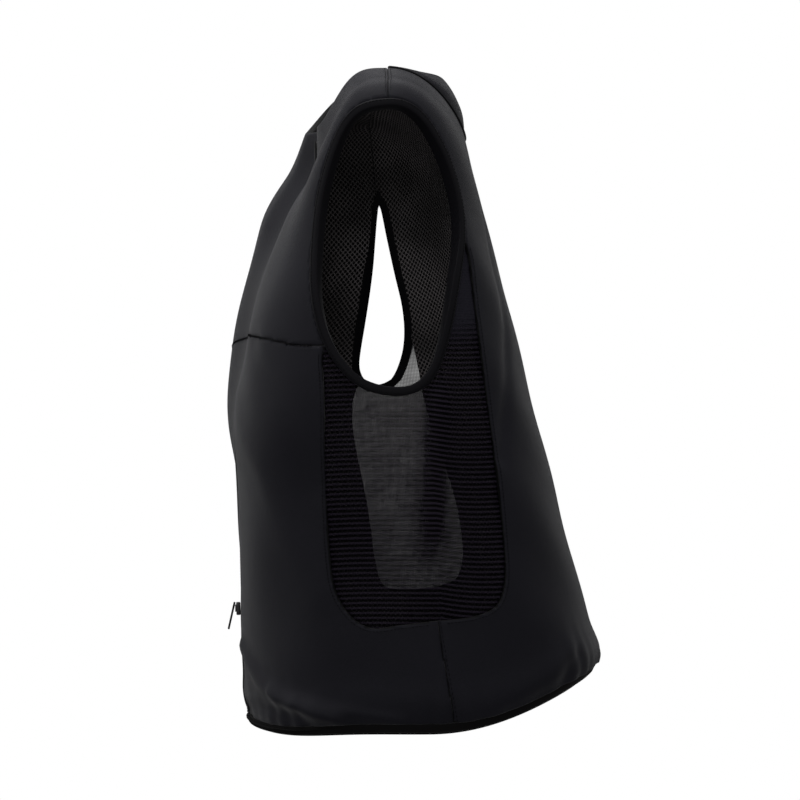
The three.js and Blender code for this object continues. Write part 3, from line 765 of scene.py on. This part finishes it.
def bound_edge(name, word):
    """A ring of tape between the armhole's line and one BINDING_WIDE outside it."""
    inner = curve(handed(LINES[word]["armhole"], HANDS[word]), STEP, closed=True)
    outer = moved(inner, BINDING_WIDE * HANDS[word])
    bm = bmesh.new()
    rings = [[bm.verts.new((u / FLAT_TURNS, v, 0)) for u, v in loop] for loop in (inner, outer)]
    edges = [bm.edges.new((r[i], r[i - 1])) for r in rings for i in range(len(r))]
    bmesh.ops.bridge_loops(bm, edges=edges)
    rungs = [e for e in bm.edges if len({v in rings[0] for v in e.verts}) == 2]
    bmesh.ops.subdivide_edges(bm, edges=rungs, cuts=3, use_grid_fill=True)

    def cushion(u, v, skin):
        middle = form(inner[:, 0], inner[:, 1])
        share = np.clip(away(skin, np.vstack([middle, middle[:1]])) / BINDING_WIDE, 0, 1)
        return BINDING_PROUD + BINDING_FULL * np.sin(math.pi * share)

    def depth(u, v):
        thin = smooth(MESH_TOP_RING - v, 0, THINNING)
        return WALL + BINDING_PROUD + thin * (BINDING_THIN - WALL - BINDING_PROUD)

    return laid(bm, name, 0, depth, relief=cushion, soften=0.0018)


for word in HANDS:
    piece = bound_edge(f"armhole_binding_{word}_tape", word)
    piece.data.materials.append(tape.material)
    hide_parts(f"armhole_binding_{word}")
    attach(piece, "root")

# Collar. A padded roll in the shell cloth that stands up round the back of the neck and runs
# out at the two shoulder seams. It is sewn to the back along the neck seam.
COLLAR_DEEP, COLLAR_TALL, COLLAR_LIFT = 0.038, 0.060, 0.001
COLLAR_ENDS = 91, 269
AROUND, LONG = 48, 90
COLLAR_BACK = np.array([
    [0, 0.01], [0, 0.3], [0.1, 0.52], [0.3, 0.78], [0.55, 0.97], [0.8, 0.94],
    [0.93, 0.72], [0.72, 0.42], [0.42, 0.14], [0.24, 0],
])
COLLAR_SIDE = np.array([
    [0, 0], [0.03, 0.02], [0.12, 0.03], [0.28, 0.02], [0.42, -0.02], [0.5, -0.09],
    [0.5, -0.17], [0.4, -0.22], [0.24, -0.22], [0.08, -0.17],
])
bm = bmesh.new()
bmesh.ops.create_grid(bm, x_segments=AROUND, y_segments=LONG, size=0.5)
s = np.array([v.co.x + 0.5 for v in bm.verts])
t = np.array([v.co.y + 0.5 for v in bm.verts])
turn = COLLAR_ENDS[0] + (COLLAR_ENDS[1] - COLLAR_ENDS[0]) * t
foot_line = form(turn, 0 * turn + NECK_RING)
full = ((SEAT_DROP + COLLAR_LIFT - foot_line[:, 2]) / COLLAR_TALL)[:, None]
inward = np.cross(lie(turn, 0 * turn + NECK_RING)[0], (0, 0, -1))
inward /= np.linalg.norm(inward, axis=1)[:, None]
back_row, side_row = (eased(rows, s * len(rows), True) for rows in (COLLAR_BACK, COLLAR_SIDE))
deep = (full[:, 0] * back_row[:, 0] + (1 - full[:, 0]) * side_row[:, 0]) * COLLAR_DEEP + GAP * 2.5
tall = (full[:, 0] * back_row[:, 1] + (1 - full[:, 0]) * side_row[:, 1]) * COLLAR_TALL
places = foot_line + inward * deep[:, None] + np.array([0, 0, 1]) * tall[:, None]
for vert, place in zip(bm.verts, places):
    vert.co = place
cloth = bm.loops.layers.uv.new("cloth")
for face in bm.faces:
    for loop in face.loops:
        loop[cloth].uv = (turn[loop.vert.index] * 0.0016, s[loop.vert.index] * 0.13)
bmesh.ops.remove_doubles(bm, verts=bm.verts, dist=1e-6)
bmesh.ops.holes_fill(bm, edges=[e for e in bm.edges if e.is_boundary])
bmesh.ops.recalc_face_normals(bm, faces=bm.faces)
collar = finished(bm, "collar_roll")
collar.data.materials.append(shell.material)
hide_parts("collar")
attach(collar, "root")

# Hem band. Wide black elastic round the bottom, sewn inside the edge of the shell, which
# blouses a little over it.
BAND_SET, BAND = 0.0025, 0.004
elastic = Finish("ribbed_elastic", (0.0042, 0.0038, 0.004), 0.65, sheen=0.02, gloss=0.08)
BAND_CELL = (1.25, 0.2)
start = zip_turn(CHAIN_HALF, 1)[0]
corners = [np.array(corner) for corner in ((start, 0), (360 - start, 0), (360 - start, 1), (start, 1))]
band = joined(*(
    straight(corners[k], corners[(k + 1) % 4], FINE_STEP if k % 2 else LONG_STEP) for k in range(4)))
hem = laid(cut_cloth(clear(band), *BAND_CELL), "hem_band_elastic", BAND_SET, BAND_SET + BAND)
hem.data.materials.append(elastic.material)
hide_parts("hem_band")
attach(hem, "root")
stretched(hem, band, 180)

# Neck piping. A thin cord in a bias strip, caught in the neck seam where the collar joins the
# back, from one shoulder seam to the other.
PIPING_RADIUS, PIPING_PROUD = 0.0013, 0.0006
piping_turn = np.linspace(*COLLAR_ENDS, 140)
piping_ring = 0 * piping_turn + NECK_RING
piping_line = form(piping_turn, piping_ring) + PIPING_PROUD * lie(piping_turn, piping_ring)[2]


def roped(name, path, radius, sides=8):
    """A round cord along a line of points, closed at its ends."""
    bm = bmesh.new()
    rings = []
    along = np.gradient(path, axis=0)
    along /= np.linalg.norm(along, axis=1, keepdims=True)
    for place, way in zip(path, along):
        turned = Vector(way).to_track_quat("Z", "Y").to_matrix().to_4x4()
        turned.translation = place
        made = bmesh.ops.create_circle(bm, segments=sides, radius=radius, matrix=turned)["verts"]
        rings.append([e for v in made for e in v.link_edges])
    for one, two in zip(rings[:-1], rings[1:]):
        bmesh.ops.bridge_loops(bm, edges=list(set(one) | set(two)))
    bmesh.ops.holes_fill(bm, edges=[e for e in bm.edges if e.is_boundary])
    bmesh.ops.recalc_face_normals(bm, faces=bm.faces)
    return finished(bm, name)


cord = roped("neck_piping", piping_line, PIPING_RADIUS)
bias = Finish("bias_strip", (0.0035, 0.0034, 0.0042), 0.6, sheen=0.05)
bias.give(Roughness=0.5 + bias.noise(1200, 2) * 0.25)
cord.data.materials.append(bias.material)
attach(cord, "root")

# Stitching. Black polyester thread: a zigzag across the chest seams, and straight rows beside
# the shoulder and side seams, round the mesh and round each binding near its outer edge. Each
# stitch is a short thread that dips into the cloth at both ends.
THREAD_RADIUS, STITCH_BOW, BINDING_ROW = 0.00022, 0.0003, 0.0058
thread = Finish("polyester_thread", (0.002, 0.002, 0.0026), 0.6, gloss=0.05)
twist = thread.noise(2600, 1)
thread.give(Base_Color=thread.mixed(twist, (0.0008, 0.0008, 0.001), (0.0035, 0.0035, 0.0045)))
bm = bmesh.new()
bmesh.ops.create_cone(
    bm, cap_ends=True, segments=6, radius1=THREAD_RADIUS, radius2=THREAD_RADIUS, depth=1)
bmesh.ops.bisect_plane(
    bm, geom=bm.verts[:] + bm.edges[:] + bm.faces[:], dist=1e-6, plane_co=(0, 0, 0), plane_no=(0, 0, 1))
stitch_mesh = bpy.data.meshes.new("stitch")
bm.to_mesh(stitch_mesh)
bm.free()


def sewn(name, rows, lift, relief=worn):
    """Rows of stitches: each row is its places, its stitch length, its zigzag and its gap."""
    bm = bmesh.new()
    for line, length, zigzag, gap in rows:
        line = evenly(line, length)
        place = form(line[:, 0], line[:, 1])
        out = lie(line[:, 0], line[:, 1])[2]
        way = np.gradient(place, axis=0)
        beside = np.cross(out, way)
        beside /= np.linalg.norm(beside, axis=1, keepdims=True)
        swing = np.where(np.arange(len(line)) % 2, 1, -1)[:, None]
        proud = lift + relief(line[:, 0], line[:, 1], place)
        place = place + out * proud[:, None] + beside * swing * zigzag
        for i, (a, b) in enumerate(zip(place[:-1], place[1:])):
            a, b = a + (b - a) * gap / 2, b - (b - a) * gap / 2
            first = len(bm.verts)
            bm.from_mesh(stitch_mesh)
            bm.verts.ensure_lookup_table()
            step = Vector(b - a)
            turned = step.to_track_quat("Z", "Y").to_matrix()
            for vert in bm.verts[first:]:
                bend = 1 - (2 * vert.co.z) ** 2
                at = Vector((vert.co.x, vert.co.y, vert.co.z * step.length))
                vert.co = turned @ at + Vector((a + b) / 2) + Vector(out[i]) * STITCH_BOW * bend
    piece = finished(bm, name)
    piece.data.materials.append(thread.material)
    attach(piece, "root")


def aside(line, distance):
    """A line moved sideways on the form."""
    right, up, out = lie(line[:, 0], line[:, 1])
    way = np.gradient(form(line[:, 0], line[:, 1]), axis=0)
    beside = np.cross(way, out)
    beside *= distance / np.linalg.norm(beside, axis=1, keepdims=True)
    a, b, c = (right * right).sum(1), (right * up).sum(1), (up * up).sum(1)
    p, q = (right * beside).sum(1), (up * beside).sum(1)
    det = a * c - b * b
    return line + np.stack([(c * p - b * q) / det, (a * q - b * p) / det], -1)


for word, hand in HANDS.items():
    seams = cut[word]["seams"]
    sewn(f"seam_stitches_{word}", [
        # line, stitch, zigzag, gap
        (seams["chest"][2:-3], 0.0017, 0.0011, 0.0),
        (aside(seams["side"], 0.0022 * hand), 0.0042, 0, 0.45),
        (aside(seams["front"], -0.0030 * hand)[2:-2], 0.0032, 0, 0.3),
        (aside(seams["back"], 0.0030 * hand)[2:-2], 0.0032, 0, 0.3),
        (aside(seams["shoulder"], 0.0025)[1:-2], 0.0030, 0, 0.3),
        (aside(seams["shoulder"], -0.0025)[1:-2], 0.0030, 0, 0.3),
    ], 0.0001)
    armhole = curve(handed(LINES[word]["armhole"], hand), FINE_STEP, closed=True)
    row = moved(armhole, BINDING_ROW * hand)
    sewn(f"binding_stitches_{word}", [(np.vstack([row, row[:1]]), 0.0032, 0, 0.3)],
         BINDING_PROUD + BINDING_FULL, relief=lambda turn, ring, skin: 0 * turn)

# Front zip. A chain of moulded black teeth on two woven tapes sewn behind the edges of the
# fronts, with one painted slider near the neck and one near the hem. Each slider carries a flat
# rubber pull on a bridge, hanging down.
TAPE, CHAIN, TAPE_EDGE = 0.0012, 0.0026, 0.0002
TOOTH_PITCH, TOOTH = 0.0027, Vector((0.0033, 0.0015, 0.0022))
TOOTH_TAPER, TOOTH_SET = 0.62, 0.0009
woven = Finish("zip_tape_weave", (0.004, 0.004, 0.0045), 0.7, sheen=0.05)
herring = ((woven.along(1) + woven.along(0).size()) * (math.pi / 0.0007)).wave()
woven.give(
    Base_Color=woven.mixed(herring * 0.5 + 0.5, (0.003, 0.003, 0.0035), (0.0075, 0.0072, 0.0082)),
    Normal=woven.bumped(herring, 0.0002))
for word, hand in HANDS.items():
    strip = joined(
        zip_edge(TAPE_EDGE * hand, 1, NECK_RING, LONG_STEP),
        straight(np.array([zip_turn(TAPE_EDGE * hand, NECK_RING)[0], NECK_RING]),
                 np.array([zip_turn(ZIP_HALF * hand, NECK_RING)[0], NECK_RING]), 0.002),
        zip_edge(ZIP_HALF * hand, NECK_RING, 1, LONG_STEP),
        straight(np.array([zip_turn(ZIP_HALF * hand, 1)[0], 1]),
                 np.array([zip_turn(TAPE_EDGE * hand, 1)[0], 1]), 0.002))
    cloth = cut_cloth(strip[::-1] if hand > 0 else strip, 1.25, 0.1)
    piece = laid(cloth, f"zip_tape_{word}_weave", TAPE, 2 * TAPE, soften=0)
    piece.data.materials.append(woven.material)
    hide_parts(f"zip_tape_{word}")
    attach(piece, "root")

moulded = Finish("moulded_teeth", (0.009, 0.009, 0.01), 0.35, gloss=0.4)
moulded.give(Roughness=0.3 + moulded.noise(1500, 2) * 0.25)
bm = bmesh.new()
bmesh.ops.create_cube(bm, size=1)
bmesh.ops.scale(bm, vec=TOOTH, verts=bm.verts)
for vert in bm.verts:
    if vert.co.x < 0:
        vert.co.y *= TOOTH_TAPER
bmesh.ops.bevel(bm, geom=bm.edges[:], offset=0.0002, affect="EDGES", segments=1, profile=0.5,
                material=-1)
tooth_mesh = bpy.data.meshes.new("tooth")
bm.to_mesh(tooth_mesh)
bm.free()
chain_rings = np.linspace(1.03, NECK_RING - 0.02, 200)
chain_line = evenly(np.stack([0 * chain_rings, chain_rings], -1), TOOTH_PITCH / 2)
chain_place = form(chain_line[:, 0], chain_line[:, 1])
_, chain_up, chain_out = lie(chain_line[:, 0], chain_line[:, 1])
chain_up /= np.linalg.norm(chain_up, axis=1, keepdims=True)
bm = bmesh.new()
for k, (place, up, out) in enumerate(zip(chain_place, chain_up, chain_out)):
    side = 1 if k % 2 else -1
    first = len(bm.verts)
    bm.from_mesh(tooth_mesh)
    bm.verts.ensure_lookup_table()
    for vert in bm.verts[first:]:
        x, y, z = vert.co.x * side + TOOTH_SET * side, vert.co.y, vert.co.z
        vert.co = Vector(place) + Vector((x, 0, 0)) + Vector(up) * y + Vector(out) * (z - CHAIN / 2)
bmesh.ops.recalc_face_normals(bm, faces=bm.faces)
chain = finished(bm, "zip_chain_teeth", smooth_shaded=False)
chain.data.materials.append(moulded.material)
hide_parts("zip_chain")
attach(chain, "root")


def on_zip(bm, name, ring, lift, lean, finish, node):
    """Stands a small part on the zip; it is made lying flat, hanging down from its top edge."""
    here = np.array([0.0]), np.array([float(ring)])
    up, out = (Vector(way[0]).normalized() for way in lie(*here)[1:])
    foot = Vector(form(*here)[0]) + out * lift
    turned = Matrix((Vector((1, 0, 0)), up, out)).transposed()
    for vert in bm.verts:
        vert.co = foot + turned @ (Matrix.Rotation(lean, 3, "X") @ vert.co)
    bmesh.ops.recalc_face_normals(bm, faces=bm.faces)
    piece = finished(bm, name)
    piece.data.materials.append(finish.material)
    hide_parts(node)
    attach(piece, "root")


painted = Finish("painted_slider", (0.012, 0.012, 0.013), 0.32, coat=0.3, gloss=0.5)
painted.give(Roughness=0.26 + painted.noise(700, 3) * 0.2)
rubber = Finish("rubber_pull", (0.008, 0.008, 0.0085), 0.55, gloss=0.35)
rubber.give(
    Roughness=0.45 + rubber.noise(900, 2) * 0.25,
    Normal=rubber.bumped(rubber.noise(2200, 2), 0.0001))
SLIDER, PULL = Vector((0.009, 0.012, 0.004)), Vector((0.006, 0.026, 0.0018))
BRIDGE = Vector((0.0022, 0.0068, 0.0014))
for word, ring, lean in (("low", 2.25, -0.25), ("top", NECK_RING - 0.25, 0)):
    bm = bmesh.new()
    bmesh.ops.create_cube(bm, size=1)
    bmesh.ops.scale(bm, vec=SLIDER, verts=bm.verts)
    bmesh.ops.translate(bm, vec=(0, -SLIDER.y / 2, SLIDER.z / 2), verts=bm.verts)
    long_edges = [e for e in bm.edges if abs((e.verts[0].co - e.verts[1].co).y) > SLIDER.y / 2]
    bmesh.ops.subdivide_edges(bm, edges=long_edges, cuts=2)
    for vert in bm.verts:
        vert.co.x *= 1 - 0.34 * smooth(-vert.co.y / SLIDER.y, 0.3, 1)
    bmesh.ops.bevel(bm, geom=[e for e in bm.edges if e.calc_face_angle(0) > 0.6], offset=0.0009,
                    affect="EDGES", segments=3, profile=0.5, material=-1)
    bridge = bmesh.ops.create_cube(bm, size=1)["verts"]
    bmesh.ops.scale(bm, vec=BRIDGE, verts=bridge)
    bmesh.ops.translate(bm, vec=(0, -SLIDER.y * 0.46, SLIDER.z + 0.0004), verts=bridge)
    bmesh.ops.bevel(bm, geom=list({e for v in bridge for e in v.link_edges}), offset=0.0004,
                    affect="EDGES", segments=2, profile=0.5, material=-1)
    on_zip(bm, f"zip_slider_{word}_body", ring, GAP * 1.25, 0, painted, f"zip_slider_{word}")

    bm = bmesh.new()
    bmesh.ops.create_grid(bm, x_segments=3, y_segments=8, size=0.5)
    centres = {f: f.calc_center_median() for f in bm.faces}
    eye = [f for f, at in centres.items() if abs(at.x) < 0.1 and 0.25 < at.y < 0.4]
    bmesh.ops.delete(bm, geom=eye, context="FACES")
    for vert in bm.verts:
        vert.co.x *= PULL.x * (1 - 0.22 * max(0, vert.co.y + 0.1))
        vert.co.y = (vert.co.y - 0.5) * PULL.y
    made = bmesh.ops.extrude_face_region(bm, geom=bm.faces[:], use_keep_orig=True)["geom"]
    top = [item for item in made if isinstance(item, bmesh.types.BMVert)]
    bmesh.ops.translate(bm, vec=(0, 0, PULL.z), verts=top)
    bmesh.ops.recalc_face_normals(bm, faces=bm.faces)
    bmesh.ops.bevel(bm, geom=[e for e in bm.edges if e.calc_face_angle(0) > CORNER], offset=0.0005,
                    affect="EDGES", segments=3, profile=0.5, material=-1)
    on_zip(bm, f"zip_pull_{word}_tab", ring, SLIDER.z + GAP * 2.5, lean, rubber,
           f"zip_pull_{word}")
